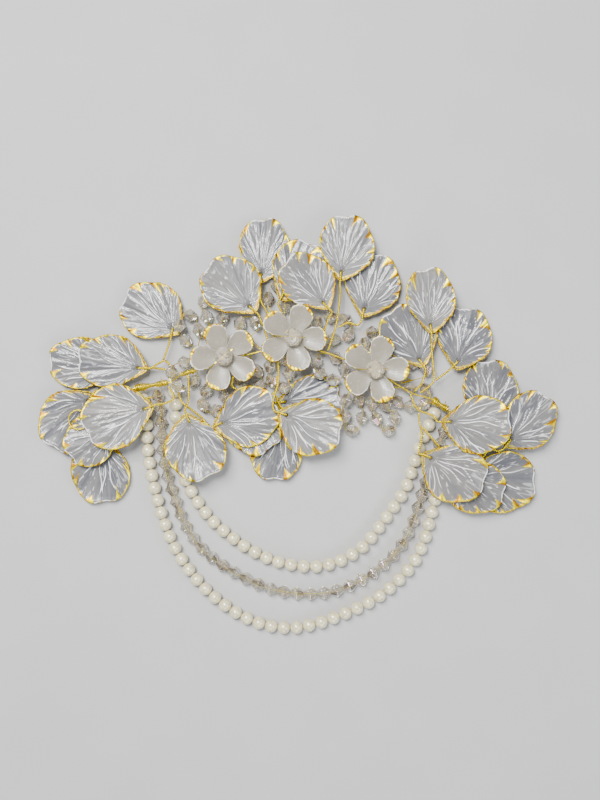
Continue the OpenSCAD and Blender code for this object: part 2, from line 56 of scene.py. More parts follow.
# Petals: name, hole x, y, z in mm, heading and pitch in degrees, size, breadth
PETALS = [
    ("left_1", -82.7, 25, 4.2, 172, -4, 1.09, 0.84),
    ("left_2", -69.6, 25.4, 7.6, 171, -1, 1.07, 0.87),
    ("left_3", -91.9, 11.1, 5.6, 231, -3, 1.05, 1),
    ("left_4", -66.4, 7.5, 10.6, 200, 2, 1.1, 1),
    ("left_5", -85.4, -8.4, 3.4, 268, -4, 1.04, 1),
    ("left_6", -54.6, 43.1, 4.6, 147, -5, 1.04, 1),
    ("left_7", -47, 1.9, 9.9, 288, -1, 1.04, 1),
    ("left_8", -81.1, -1.2, 6.8, 212, -2, 0.9, 1),
    ("top_1", -15.9, 66.9, 4, 87, -4, 1, 0.9),
    ("top_2", -20.8, 52.4, 8.6, 136, 0, 1.02, 1),
    ("top_3", -5.6, 58.5, 7.2, 61, -5, 1, 1),
    ("top_4", 11.4, 53.8, 11, 131, 1, 0.98, 0.93),
    ("top_5", 19.3, 67.3, 8.6, 83, -2, 1.01, 0.95),
    ("top_6", 29.5, 51.6, 5, 77, -4, 1, 1),
    ("right_1", 58.1, 44, 10.5, 94, -2, 1, 0.85),
    ("right_2", 53.6, 29.2, 7.4, 119, -1, 1.01, 0.95),
    ("right_3", 70.5, 28.1, 6.6, 80, -5, 0.98, 1),
    ("right_4", 84, 3.5, 4.8, 88, -5, 1.03, 0.95),
    ("right_5", 93.5, -6.1, 7.4, 49, -6, 1.02, 0.9),
    ("right_6", 66.7, 2, 11.5, -1, 0, 1.05, 0.96),
    ("right_7", 58.1, -13.8, 10.5, -26, -2, 1.05, 1),
    ("right_8", 67.3, -20.7, 7.4, -24, -4, 1.03, 0.92),
    ("right_9", 78.3, -22, 3.2, -7, -2, 1.1, 1),
    ("front_1", -33, 1.3, 8.2, 19, -1, 1.03, 1),
    ("front_2", -4.7, 4.9, 11, -20, -1, 1.02, 1),
    ("front_3", -5.3, 10.6, 3.4, 3, -3, 1, 1),
    ("front_4", -6.2, 0.4, 4, 259, -4, 1, 0.95),
    ("front_5", -24, 11.2, 6.2, 298, -2, 1, 1),
]

# Outline of a petal round its hole: angle clockwise from the notch, reach as a share of the length
PETAL_OUTLINE = [
    (-165, 0.14), (-112, 0.13), (-80, 0.2), (-65, 0.29), (-53, 0.5), (-42, 0.69),
    (-29, 0.85), (-15, 0.97), (-3, 0.955), (9, 1.01), (18, 0.985), (29, 0.885),
    (41, 0.8), (53, 0.69), (66, 0.55), (80, 0.34), (112, 0.18),
]

# Radius of a petal's hole, in metres
PETAL_HOLE = 0.00085
# Half angle of a petal's broad fan, and the share of its rays that lie in it
FAN, FAN_SHARE = 118, 0.92
# Angles between which a petal's notch has no gilding
NOTCH = (-15, 11)
# Angle past which the rim turns into a petal's sides, and how soon it does
SIDES, SIDES_TURN = 58, 10
# Depth of the gilding along a petal's rim in mm, what the sides add, and its depth in the notch
RIM_GILT, SIDE_GILT, NOTCH_GILT = 0.55, 0.15, 0.05
# Height of a hole in mm above which a petal lies over others and is painted paler, and how far up
# that is complete
OVER_FROM, OVER_RISE = 6, 5
# Height in metres of the bead that gilding leaves along a rim, and its width in mm
RIM_BEAD, RIM_BEAD_WIDTH = 0.00012, 0.8
# Thickness of the dressed petals and flowers as shares of the acrylic's
PETAL_SHEET, FLOWER_SHEET = 0.75, 0.9

# Gathers where the gilding runs in from the rim: angle, half width in degrees, depth in mm
GATHERS = [
    (-72, 7, 3), (-61, 5, 6), (-51, 5, 3.4), (-41, 5, 6), (-31, 3.5, 3), (-19, 5.5, 6.6),
    (14, 5.5, 6), (23, 3, 2.4), (32, 5.5, 6.8), (42, 3.5, 3), (52, 5.5, 5.6), (61, 4.5, 3),
    (71, 6, 4.6),
]

# Long veins: the angle they fan out over, and the limits between which each one's bend and wave in
# degrees, phase, start and stop as shares of the length, width in mm and strength are drawn
VEIN_FAN = 124
VEIN_LIMITS = [(-14, 14), (1.4, 4), (0, 6), (0.06, 0.36), (0.6, 1), (0.24, 0.38), (0.55, 1)]
# Angles by which a vein forks, and the share of the length from which it does
VEIN_FORKS, FORK_FROM = (0, 0, 0, 18, 28), 0.55

# Flowers: name, x, y, z in mm, turn in degrees
FLOWERS = [
    ("left", -31.7, 30.2, 10.4, 39),
    ("middle", -1.9, 38.6, 10.4, -4),
    ("right", 33.9, 24.7, 10.4, 0),
]
# Outline of a lobe: angle from its middle, reach as a share of the flower's width
LOBE_OUTLINE = [
    (-36, 0.16), (-31, 0.3), (-24, 0.42), (-12, 0.485), (0, 0.5), (12, 0.49), (24, 0.43),
    (31, 0.31),
]
# Number of lobes, and half the angle that one takes up
LOBES, HALF_LOBE = 5, 36
# Radius of a flower's hole, rise of the rim beside its slots and depth of its dents, in metres
FLOWER_HOLE, SLOT_RISE, FLOWER_DENT = 0.0006, 0.0012, 0.0004

# Route of the spine between its pin loops, in mm, left end first
SPINE_ROUTE = [
    (-91.4, 6.4, 9.2), (-82, 12.4, 9), (-72.2, 16.3, 7.6), (-60.5, 18.6, 7.2), (-55.4, 19.4, 7.2),
    (-50.4, 22.8, 7.9), (-44, 24.4, 8.6), (-31.7, 28.4, 8.9), (-17, 32.4, 8.9), (-2.2, 35.4, 8.9),
    (11, 32.6, 8.9), (23.3, 28.2, 8.9), (34.8, 23.6, 8.9), (45.3, 17.2, 8.6), (51.3, 14, 7.9),
    (58.5, 12, 7.4), (65.1, 7.9, 7.2), (73.9, 1, 8.2), (79.4, -3.8, 8.6),
]
# Pin loops: x, y, z in mm, angle where the loop meets the spine, angle where it ends
PIN_LOOP_RADIUS, PIN_LOOP_STEPS = 4.2, 36
PIN_LOOPS = [(-95.6, 2.8, 9.2, 40, 345), (85, -3.4, 8.7, 215, 540)]
# Spine: core and wound wire as shares of its radius, and the lay of the wound wire in mm
SPINE_CORE, SPINE_WRAP, SPINE_LAY = 0.62, 0.28, 2.1

# Radius of the fine winding wire, in mm
FINE_WIRE = 0.2
# Windings of fine wire: name, start, end in mm
COILS = [
    ("coil_left", (-71.4, 16.5, 7.55), (-56.6, 19.2, 7.2)),
    ("coil_right", (59.4, 11.6, 7.35), (66, 7.2, 7.25)),
]

# Where the ends of the middle string are tied, in mm
MIDDLE_TIES = [(-62.4, 16.2, 5.2), (66.2, 6.6, 5.4)]
# The middle string's twisted wire: radius of the twist, lay and radius of a strand, in mm
MIDDLE_TWIST, MIDDLE_LAY, MIDDLE_STRAND = 0.13, 1.6, 0.15

# Where fine wire is wound round the spine beside the left cluster, in mm
CLUMP_ROUTE = [(-50.8, 22.5, 7.9), (-47.6, 23.6, 8.3), (-44.4, 24.3, 8.6)]
# Layers of that clump: radius and lay in mm, start, wander
CLUMP_LAYERS = [(0.85, 0.55, 0, 0.15), (1.15, 1.3, 2, 0.2)]

# Layers of a winding: radius, lay in mm, wander, first and last of its steps
WINDING_STEPS = 240
WINDINGS = [
    (0.8, 0.5, 0.06, 0, 240), (1.2, 0.62, 0.12, 0, 110), (1.5, 0.7, 0.2, 0, 88),
    (1.7, 0.95, 0.14, 6, 76), (1.1, 0.6, 0.12, 150, 240), (1.4, 0.95, 0.16, 168, 236),
]
# Loose end of a winding: the share of its length where it leaves, and its way out
LOOSE_FOOT, LOOSE_WAY = 0.78, (0.3, 1, 0.5)

# Stems: strand radius as a share of the pair's width, twist radius as a share of the strand's
STRAND, STRAND_TWIST = 0.27, 0.85
# Points of each stem's route from its foot, in mm
STEMS = {
    "left_1": [(-53.8, 21.6, 6.2), (-57.4, 24.6, 5.4), (-66, 25.8, 4.6), (-73, 26, 4.4)],
    "left_2": [(-53.4, 22.9, 6.4), (-57.4, 28.4, 6.8), (-60.8, 27.4, 7.8)],
    "left_3": [(-63.4, 12.6, 7.4), (-72, 11.6, 7.4), (-80, 13, 6.9), (-85.6, 15.4, 6.2)],
    "left_4": [(-56.2, 17.2, 8.1), (-53.8, 12.6, 8.8), (-57, 10.1, 9.6)],
    "left_5": [(-72.6, 10.2, 7.2), (-78.6, 6, 6.2), (-84, 1, 4.4)],
    "left_6": [(-58.8, 29.2, 5.8), (-57.2, 33.8, 5.4)],
    "left_7": [(-47.6, 22.3, 9.2), (-47.2, 15, 9.6), (-47.8, 9.6, 9.8)],
    "left_8": [(-72.4, 8.8, 7.9), (-73.6, 5, 7.8)],
    "top_1": [(-8.6, 36, 8.3), (-11.8, 44, 8), (-13, 49.6, 8), (-15.8, 54.8, 6.8),
              (-15.9, 59, 5.2)],
    "top_2": [(-11.8, 34.4, 8.8), (-14.4, 42.6, 8.4), (-15.9, 46.2, 8.5)],
    "top_3": [(-3.4, 36.8, 8.3), (-4.6, 45, 8.4), (-7, 50.4, 8.2)],
    "top_4": [(8.2, 34.6, 8.8), (11.6, 41, 8.6), (13.8, 47.4, 9.8)],
    "top_5": [(13.6, 33.2, 9.2), (16.6, 42.2, 8.6), (18, 49.2, 8.2), (18.8, 57.4, 8.4)],
    "top_6": [(18.4, 43.4, 8.4), (22.4, 45.2, 8.6), (26.4, 44.2, 7)],
    "right_1": [(54, 14.6, 8.4), (58.3, 17.8, 8.4), (60, 21.3, 8.4), (58.8, 33.6, 8.8)],
    "right_2": [(51.4, 15.2, 8.6), (54.4, 18.4, 8.3), (55.6, 21.4, 8.2)],
    "right_3": [(60.9, 20.2, 8), (64.4, 22.7, 7.6)],
    "right_4": [(79.6, -3.6, 7), (83.2, -3.6, 5.6)],
    "right_5": [(84.4, -9.2, 8.8), (87.4, -10.8, 8.6)],
    "right_6": [(49.6, 13.8, 9.4), (52.6, 7.4, 9.6), (59.2, 4.6, 10.4)],
    "right_7": [(53.2, 5.6, 8.6), (53.6, 1.6, 8.4), (54.6, -4, 8.8)],
    "right_8": [(55, -0.6, 7.4), (60.4, -6.8, 7.4), (63.4, -11.6, 7.4)],
    "right_9": [(84, -9.4, 7.6), (81, -14.6, 5.2), (74.6, -18.6, 3.8)],
    "front_1": [(-52, 14.6, 7.6), (-50.4, 10.4, 7.2), (-46.6, 7.4, 7), (-41.8, 3.6, 7)],
    "front_2": [(-8.6, 33, 9), (-8.2, 20, 9.2), (-10.4, 10.6, 11)],
    "front_3": [(-8.8, 22, 7.9), (-9.2, 15.8, 8.1), (-13, 12.2, 5.8)],
    "front_4": [(-9.4, 13.4, 7), (-8, 9.6, 5.7)],
    "front_5": [(-25.6, 28.4, 7.8), (-27.8, 22, 7.6), (-28.6, 17.6, 6.8)],
}
# Turn of a stem's hook in degrees, where it doesn't lie straight over the petal's narrow end
HOOK_TURNS = {"left_1": 8, "left_2": 9, "left_6": -71, "right_3": -36}
# Hook of a stem in the petal's frame: over its narrow end, down the hole and back below
HOOK = [
    (-5.6, 0, 0.5), (-3.6, 0, 1.15), (-1.1, 0, 1.2), (-0.1, 0, 0.7),
    (0, 0, -0.6), (-0.9, 0, -1.2), (-2.6, 0, -1.2),
]

# Cut beads: facets round them, and reach and height of each ring as shares of the width and length
CRYSTAL_FACETS, CRYSTAL_RINGS = 8, [(0.46, 1), (1, 0.03)]
CENTRE_FACETS, CENTRE_RINGS = 12, [(0.34, 0.96), (0.68, 0.74), (0.92, 0.4), (1, 0.1)]
# Narrow borders round the facets: width, area from which a facet has one, and their tones: mostly
# white lines of painted highlight, some dark lines of painted shade and some warm ones
BORDER, BORDERED, BORDER_LIGHT_AND_SHADE = 0.022, 0.03, (0.1, 0.4, 0.9, 0.9, 0.9, 0.9)
# Painted light and shade on cut glass: the tone from which a facet has it, and its colour: warm and
# pink facets, dark facets of painted shade, pale and white facets of painted reflection
FACET_LIGHT_AND_SHADE = [
    (0, (1, 0.84, 0.42)), (0.1, (1, 0.88, 0.84)), (0.25, (0.32, 0.29, 0.24)),
    (0.42, (0.96, 0.9, 0.76)), (0.62, (1, 1, 1)),
]

# Soft lights: name, place, width in metres, power in watts, colour
LIGHTS = [
    ("key", (-0.3, 0.4, 0.8), 0.3, 8.5, (1, 0.98, 0.95)),
    ("top", (-0.12, 0.2, 0.75), 0.2, 8, (1, 1, 1)),
    ("fill", (0.6, -0.2, 0.6), 0.4, 3, (0.92, 0.95, 1)),
    ("front", (0.05, -0.7, 0.5), 0.4, 2.5, (1, 1, 1)),
]
# Camera: sensor height in mm, height of the picture in pixels, place over the floor in metres,
# and the height in metres at which one pixel covers its width
SENSOR, PICTURE = 36, 800
OVERHEAD = (0.00087, 0.01163)
MIDDLE_HEIGHT = 0.006


# Settings that a user would change

class HairVinePetals(bpy.types.PropertyGroup):
    length: FloatProperty(
        name="Length", description="From the wire hole to the notch",
        default=0.0249, unit="LENGTH")
    wall: FloatProperty(
        name="Thickness", description="Thickness of the acrylic", default=0.0008, unit="LENGTH")
    cup: FloatProperty(
        name="Cup", description="Height of the rim above the middle", default=0.0016, unit="LENGTH")
    fold: FloatProperty(
        name="Folds", description="Depth of the folds along the rim",
        default=0.00045, unit="LENGTH")
    ripple: FloatProperty(
        name="Ripple", description="Height of the uneven ripples", default=0.0004, unit="LENGTH")
    vein: FloatProperty(
        name="Veins", description="Height of the raised veins", default=0.0003, unit="LENGTH")
    veins: IntProperty(name="Vein count", description="Long veins on a petal", default=11, min=2)
    crease: FloatProperty(
        name="Crease", description="Height of the gilded gathers", default=0.0004, unit="LENGTH")
    body: FloatVectorProperty(
        name="Acrylic", description="Colour between the veins", subtype="COLOR",
        default=(0.1, 0.103, 0.12))
    # Painted highlight on the raised veins and along the rim
    vein_and_rim_highlight: FloatVectorProperty(
        name="Vein colour", description="Colour along the raised veins", subtype="COLOR",
        default=(0.86, 0.86, 0.86))


class HairVineFlowers(bpy.types.PropertyGroup):
    width: FloatProperty(
        name="Width", description="Across the lobes", default=0.0295, unit="LENGTH")
    wall: FloatProperty(
        name="Thickness", description="Thickness of the acrylic", default=0.0009, unit="LENGTH")
    cup: FloatProperty(
        name="Cup", description="Height of the rim above the middle", default=0.0024, unit="LENGTH")
    body: FloatVectorProperty(
        name="Acrylic", description="Colour of the lobes", subtype="COLOR",
        default=(0.27, 0.245, 0.19))


class HairVineWires(bpy.types.PropertyGroup):
    spine: FloatProperty(
        name="Spine", description="Diameter of the spine", default=0.001, unit="LENGTH")
    stem: FloatProperty(
        name="Stem", description="Width of a twisted pair", default=0.0011, unit="LENGTH")
    lay: FloatProperty(
        name="Lay", description="Length of one turn of a pair", default=0.0019, unit="LENGTH")
    gold: FloatVectorProperty(
        name="Gold", description="Colour of the plated wire", subtype="COLOR",
        default=(0.8, 0.65, 0.002))


class HairVineBeads(bpy.types.PropertyGroup):
    pearl_width: FloatProperty(
        name="Pearl width", description="Across a pearl", default=0.0059, unit="LENGTH")
    pearl_length: FloatProperty(
        name="Pearl length", description="Along the string", default=0.0056, unit="LENGTH")
    crystal_width: FloatProperty(
        name="Crystal width", description="Over the girdle", default=0.006, unit="LENGTH")
    crystal_length: FloatProperty(
        name="Crystal length", description="Between the tables", default=0.0057, unit="LENGTH")
    centre_width: FloatProperty(
        name="Centre bead", description="Width of the bead in a flower",
        default=0.008, unit="LENGTH")
    pearl: FloatVectorProperty(
        name="Pearl", description="Colour of the pearl coating", subtype="COLOR",
        default=(0.78, 0.72, 0.46))
    crystal: FloatVectorProperty(
        name="Crystal", description="Colour of the cut glass", subtype="COLOR",
        default=(0.97, 0.95, 0.89))
    film: FloatProperty(
        name="Film", description="Thickness of the rainbow coating in nanometres", default=420)
    thread: FloatVectorProperty(
        name="Thread", description="Colour of the beading thread", subtype="COLOR",
        default=(0.78, 0.66, 0.4))


class HairVineStage(bpy.types.PropertyGroup):
    floor: FloatVectorProperty(
        name="Floor", description="Colour of the floor", subtype="COLOR",
        default=(0.45, 0.45, 0.45))
    camera_height: FloatProperty(
        name="Camera height", description="Height of the camera over the floor",
        default=0.45, unit="LENGTH")
    pixel: FloatProperty(
        name="Pixel", description="Width that one pixel of the picture covers",
        default=0.00044, unit="LENGTH")


GROUPS = {
    "vine_petals": HairVinePetals, "vine_flowers": HairVineFlowers, "vine_wires": HairVineWires,
    "vine_beads": HairVineBeads, "vine_stage": HairVineStage,
}


# Curves and placing

def curve_between(a, b, c, d, t):
    """A smooth curve's place at share t of the way from b to c, with a before and d after."""
    return 0.5 * (2 * b + (c - a) * t + (2 * a - 5 * b + 4 * c - d) * t * t
                  + (3 * b - a - 3 * c + d) * t ** 3)


def smooth_at(values, t):
    """The value at t on a closed smooth curve through (position, value) pairs, one turn long."""
    count = len(values)
    spots = [v[0] for v in values]
    t = (t - spots[0]) % 360 + spots[0]
    i = max(k for k in range(count) if spots[k] <= t + TINY)
    span = (spots[(i + 1) % count] - spots[i]) % 360
    around = [values[(i + k) % count][1] for k in (-1, 0, 1, 2)]
    return curve_between(*around, (t - spots[i]) / span)


def smooth_route(points, steps):
    """A smooth route through the points, with the given number of steps in each stretch."""
    p = [Vector(q) for q in points]
    route = []
    for i in range(len(p) - 1):
        around = p[max(i - 1, 0)], p[i], p[i + 1], p[min(i + 2, len(p) - 1)]
        route += [curve_between(*around, j / steps) for j in range(steps)]
    route.append(p[-1])
    return route


def even_route(points, step):
    """The same route with its points an even step apart."""
    even = [points[0].copy()]
    rest = step
    for a, b in zip(points, points[1:]):
        length = (b - a).length
        along = rest
        while along <= length:
            even.append(a.lerp(b, along / length))
            along += step
        rest = along - length
    if (even[-1] - points[-1]).length > step * 0.3:
        even.append(points[-1].copy())
    return even


def wound(points, radius, lay, start=0.0, wander=0.0, rng=None):
    """A helix of the given radius and lay round a route of evenly spaced points."""
    turned = []
    across = (points[1] - points[0]).orthogonal().normalized()
    angle = start
    for i, p in enumerate(points):
        ahead = (points[min(i + 1, len(points) - 1)] - points[max(i - 1, 0)]).normalized()
        across = (across - across.dot(ahead) * ahead).normalized()
        beside = ahead.cross(across)
        r = radius * (1 + (rng.uniform(-wander, wander) if rng else 0))
        turned.append(p + r * (math.cos(angle) * across + math.sin(angle) * beside))
        if i < len(points) - 1:
            angle += math.tau * (points[i + 1] - p).length / lay
    return turned


def petal_place(row):
    """Where a petal lies, in millimetres."""
    _, x, y, z, heading, pitch, size, breadth = row
    return (Matrix.Translation(Vector((x, y, z)) + CENTRING)
            @ Matrix.Rotation(math.radians(heading), 4, "Z")
            @ Matrix.Rotation(math.radians(-pitch), 4, "Y")
            @ Matrix.Diagonal((size, size * breadth, size, 1)))


def link_object(name, data):
    """A new object in the scene."""
    thing = bpy.data.objects.new(name, data)
    bpy.context.scene.collection.objects.link(thing)
    return thing


def mesh_from(bm, name):
    """A mesh from a bmesh, which is freed."""
    mesh = bpy.data.meshes.new(name)
    bm.to_mesh(mesh)
    bm.free()
    return mesh


def add_piece(mesh, material, smooth, node):
    """Finishes a mesh and links it as a piece that rides on the body and stands for a CAD node."""
    mesh.materials.append(material)
    mesh.polygons.foreach_set("use_smooth", [smooth] * len(mesh.polygons))
    piece = link_object(mesh.name, mesh)
    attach(piece, "root")
    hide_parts(node)


def wire_piece(name, routes, material, node, sides=1):
    """Round wires: routes is a list of (points in mm, radius in mm)."""
    curve = bpy.data.curves.new(name, "CURVE")
    curve.dimensions = "3D"
    curve.bevel_depth = MM
    curve.bevel_resolution = sides
    curve.use_fill_caps = True
    for points, radius in routes:
        spline = curve.splines.new("POLY")
        spline.points.add(len(points) - 1)
        for point, p in zip(spline.points, points):
            q = (p + CENTRING) * MM
            point.co = (q.x, q.y, q.z, 1)
            point.radius = radius
    shape = link_object(name + "_route", curve)
    bpy.context.view_layer.update()
    shaped = shape.evaluated_get(bpy.context.evaluated_depsgraph_get())
    mesh = bpy.data.meshes.new_from_object(shaped)
    bpy.data.objects.remove(shape)
    bpy.data.curves.remove(curve)
    mesh.name = name
    add_piece(mesh, material, True, node)


# Materials

def shader(name):
    """A new material with its node tree and Principled BSDF."""
    material = bpy.data.materials.new(name)
    material.use_nodes = True
    return material, material.node_tree, material.node_tree.nodes["Principled BSDF"]


def feed(tree, node, values):
    """Fills a node's inputs: a socket is linked, and anything else is set on the input itself."""
    for key, value in values.items():
        if isinstance(value, bpy.types.NodeSocket):
            tree.links.new(value, node.inputs[key])
        else:
            node.inputs[key].default_value = value
    return node


def attribute(tree, name, output):
    """A socket that reads an attribute of the mesh."""
    node = tree.nodes.new("ShaderNodeAttribute")
    node.attribute_name = name
    return node.outputs[output]


def maths(tree, operation, *inputs):
    """The result of a Math node, whose inputs are numbers or sockets."""
    node = tree.nodes.new("ShaderNodeMath")
    node.operation = operation
    return feed(tree, node, dict(enumerate(inputs))).outputs[0]


def step_mask(tree, value, low, high):
    """0 below low, 1 above high, smooth between."""
    node = tree.nodes.new("ShaderNodeMapRange")
    node.interpolation_type = "SMOOTHSTEP"
    return feed(tree, node, {"Value": value, "From Min": low, "From Max": high}).outputs["Result"]


def blend_colours(tree, factor, a, b):
    """A colour between a and b, which are colours or sockets."""
    node = tree.nodes.new("ShaderNodeMix")
    node.data_type = "RGBA"
    a, b = (c if isinstance(c, bpy.types.NodeSocket) else (*c, 1) for c in (a, b))
    # A Mix node's two colours are its inputs 6 and 7, and their blend its output 2
    return feed(tree, node, {"Factor": factor, 6: a, 7: b}).outputs[2]


def shaded(colour, shade):
    """A colour times a shade, channel by channel."""
    return tuple(min(1, c * s) for c, s in zip(colour, shade))


def grain(tree, vector, scale, detail):
    """Noise over a vector socket."""
    node = tree.nodes.new("ShaderNodeTexNoise")
    return feed(tree, node, {"Vector": vector, "Scale": scale, "Detail": detail}).outputs[0]


def apart(tree, vector):
    """The three parts of a vector socket."""
    return feed(tree, tree.nodes.new("ShaderNodeSeparateXYZ"), {0: vector}).outputs


def begin_group(name, kind, inputs, outputs):
    """A new node group with inputs of one kind and numbers as outputs, its entry and its exit."""
    group = bpy.data.node_groups.new(name, "ShaderNodeTree")
    for label in inputs:
        group.interface.new_socket(label, in_out="INPUT", socket_type="NodeSocket" + kind)
    for label in outputs:
        group.interface.new_socket(label, in_out="OUTPUT", socket_type="NodeSocketFloat")
    return group, group.nodes.new("NodeGroupInput").outputs, group.nodes.new("NodeGroupOutput")


def place_group(tree, name, make, values):
    """A node that places a group, which is built the first time."""
    node = tree.nodes.new("ShaderNodeGroup")
    node.node_tree = bpy.data.node_groups.get(name) or make(name)
    return feed(tree, node, values).outputs


def mottle_group(name):
    """Fine cloudy variation over a surface, as a mask and a height."""
    group, entry, leave = begin_group(name, "Float", ("Scale", "Detail"), ("Mask", "Height"))
    where = group.nodes.new("ShaderNodeTexCoord").outputs["Object"]
    height = grain(group, where, entry["Scale"], entry["Detail"])
    feed(group, leave, {"Mask": step_mask(group, height, 0.35, 0.68), "Height": height})
    return group


def mottle(tree, scale, detail):
    """The surface mottle, placed with its own scale and detail."""
    return place_group(tree, "surface_mottle", mottle_group, {"Scale": scale, "Detail": detail})


def add_bump(tree, bsdf, height, strength, distance):
    """Fine relief from a height socket."""
    bump = feed(tree, tree.nodes.new("ShaderNodeBump"),
                {"Strength": strength, "Distance": distance, "Height": height})
    feed(tree, bsdf, {"Normal": bump.outputs["Normal"]})


def vein_group(name):
    """Fine veins with painted glints along them, broad folds and streaks that fan out from a
    petal's hole, as masks.
    """
    group, entry, leave = begin_group(name, "Vector", ("Polar",), ("Fine", "Folds", "Streaks"))

    def cloud(across, along, seed, detail):
        spread = group.nodes.new("ShaderNodeVectorMath")
        spread.operation = "MULTIPLY_ADD"
        feed(group, spread, {0: entry["Polar"], 1: (across, along, 40), 2: (seed, seed * 3, 0)})
        return grain(group, spread.outputs[0], 1, detail)

    def lines(value, width):
        off = maths(group, "ABSOLUTE", maths(group, "SUBTRACT", value, 0.5))
        return step_mask(group, maths(group, "MULTIPLY_ADD", off, -1 / width, 1), 0, 0.8)

    outward = step_mask(group, apart(group, entry["Polar"])["Y"], 0.1, 0.34)
    strong = step_mask(group, cloud(13, 2.6, 5, 0), 0.4, 0.58)
    strong = maths(group, "MULTIPLY_ADD", strong, 0.75, 0.25)
    some = step_mask(group, cloud(11, 3, 9, 0), 0.54, 0.66)
    fine = maths(group, "MULTIPLY", lines(cloud(62, 2.2, 13, 1), 0.05), some)
    # Painted highlight: short bright glints along the veins, mixed into the fine veins
    glint = step_mask(group, cloud(130, 9, 17, 0), 0.69, 0.76)
    fine = maths(group, "MAXIMUM", maths(group, "MULTIPLY", fine, 0.55),
                 maths(group, "MULTIPLY", glint, strong))
    feed(group, leave, {
        "Fine": maths(group, "MULTIPLY", fine, outward),
        "Folds": step_mask(group, cloud(26, 0.9, 1, 1), 0.3, 0.7),
        "Streaks": cloud(70, 5, 21, 1),
    })
    return group


def gilded_acrylic(name, body, vein_and_rim_highlight, gold, see_through, veined, gloss):
    """Frosted acrylic, whiter on its veins and rim with painted highlight, paler with painted light
    on its folds and where it lies over others, with gilding that runs in from the rim and painted
    shade in its gathers.
    """
    material, tree, bsdf = shader(name)
    polar = attribute(tree, "polar", "Vector")
    veins = place_group(tree, "fanned_veins", vein_group, {"Polar": polar})
    cloud = mottle(tree, 900, 3)
    inward, side, tone_and_shade = apart(tree, attribute(tree, "rim", "Vector"))

    # Where the gilding lies: on the rim and its gathers, with a second line along the sides
    streak = maths(tree, "SUBTRACT", veins["Streaks"], 0.5)
    gilt = maths(tree, "MULTIPLY_ADD", streak, 1.7, attribute(tree, "gilt", "Fac"))
    second = maths(tree, "ABSOLUTE", maths(tree, "SUBTRACT", inward, 1.25))
    second = step_mask(tree, maths(tree, "MULTIPLY_ADD", second, -1, 0.3), 0, 0.15)
    gilded = maths(tree, "MAXIMUM", step_mask(tree, gilt, -0.1, 0.1),
                   maths(tree, "MULTIPLY", second, side))

    # Where the acrylic is pale with painted highlight: on raised veins, fine veins and their
    # glints, and along the rim
    raised = step_mask(tree, attribute(tree, "vein", "Fac"), 0.2, 0.75)
    line = maths(tree, "MAXIMUM", raised, maths(tree, "MULTIPLY", veins["Fine"], 0.6))
    # Painted highlight: a pale line along the rim
    edge = step_mask(tree, maths(tree, "MULTIPLY", inward, -1), -0.55, -0.25)
    line = maths(tree, "MAXIMUM", maths(tree, "MULTIPLY", line, veined), edge)
    # Painted light: a paler acrylic on the broad folds and on petals that lie over others
    lit_acrylic = tuple(c * 0.9 + lift for c, lift in zip(body, (0.16, 0.147, 0.11)))
    folds = maths(tree, "MULTIPLY", veins["Folds"], 0.36 * veined + 0.08)
    folds = maths(tree, "MULTIPLY_ADD", attribute(tree, "over", "Fac"), 0.4, folds)
    acrylic = blend_colours(tree, line, blend_colours(tree, folds, body, lit_acrylic), vein_and_rim_highlight)

    # Gold that darkens from gather to gather: painted shade makes one side of each gather's crease
    # dark brown, and the gold is also deeper along the sides and streaked darker at random
    tone_and_shade = maths(tree, "MULTIPLY_ADD", streak, 3.6, tone_and_shade)
    gold = shaded(gold, (0.95, 0.95, 0))
    # A deeper gold, and a dark brown that is painted shade on the shaded side of the creases
    deep, dark = shaded(gold, (0.78, 0.64, 0)), shaded(gold, (0.4, 0.22, 0.15))
    plated = blend_colours(tree, step_mask(tree, tone_and_shade, -0.35, 0.25), gold, deep)
    plated = blend_colours(tree, step_mask(tree, tone_and_shade, 0.3, 0.75), plated, dark)

    rough = maths(tree, "MULTIPLY_ADD", cloud["Mask"], 0.14, 0.3)
    solid = maths(tree, "MAXIMUM", gilded, line)
    feed(tree, bsdf, {
        "Base Color": blend_colours(tree, gilded, acrylic, plated),
        "Metallic": maths(tree, "MULTIPLY", gilded, 0.95),
        "Roughness": maths(tree, "MULTIPLY_ADD", gilded, 0.1, rough),
        "Coat Weight": maths(tree, "MULTIPLY_ADD", gilded, -gloss, gloss),
        "Alpha": maths(tree, "MULTIPLY_ADD", solid, 1 - see_through, see_through),
        "IOR": 1.49, "Coat Roughness": 0.06,
    })
    height = maths(tree, "MULTIPLY_ADD", veins["Folds"], 0.35 * veined + 0.05, line)
    add_bump(tree, bsdf, height, 0.3, 0.0003)
    return material


def mottled_shader(name, colour, shade, scale, detail):
    """A new material whose colour varies finely between a colour and its shade."""
    material, tree, bsdf = shader(name)
    cloud = mottle(tree, scale, detail)
    mottled = blend_colours(tree, cloud["Mask"], colour, shaded(colour, shade))
    feed(tree, bsdf, {"Base Color": mottled})
    return material, tree, bsdf, cloud


def gold_wire(context):
    """Bright plated wire with slight unevenness, the same for all wires."""
    made = bpy.data.materials.get("gold_wire")
    if made:
        return made
    colour = context.scene.vine_wires.gold
    material, tree, bsdf, cloud = mottled_shader("gold_wire", colour, (0.9, 0.82, 0.6), 900, 2)
    feed(tree, bsdf, {
        "Roughness": maths(tree, "MULTIPLY_ADD", cloud["Mask"], 0.14, 0.28), "Metallic": 0.92,
    })
    add_bump(tree, bsdf, cloud["Height"], 0.2, 0.0001)
    return material


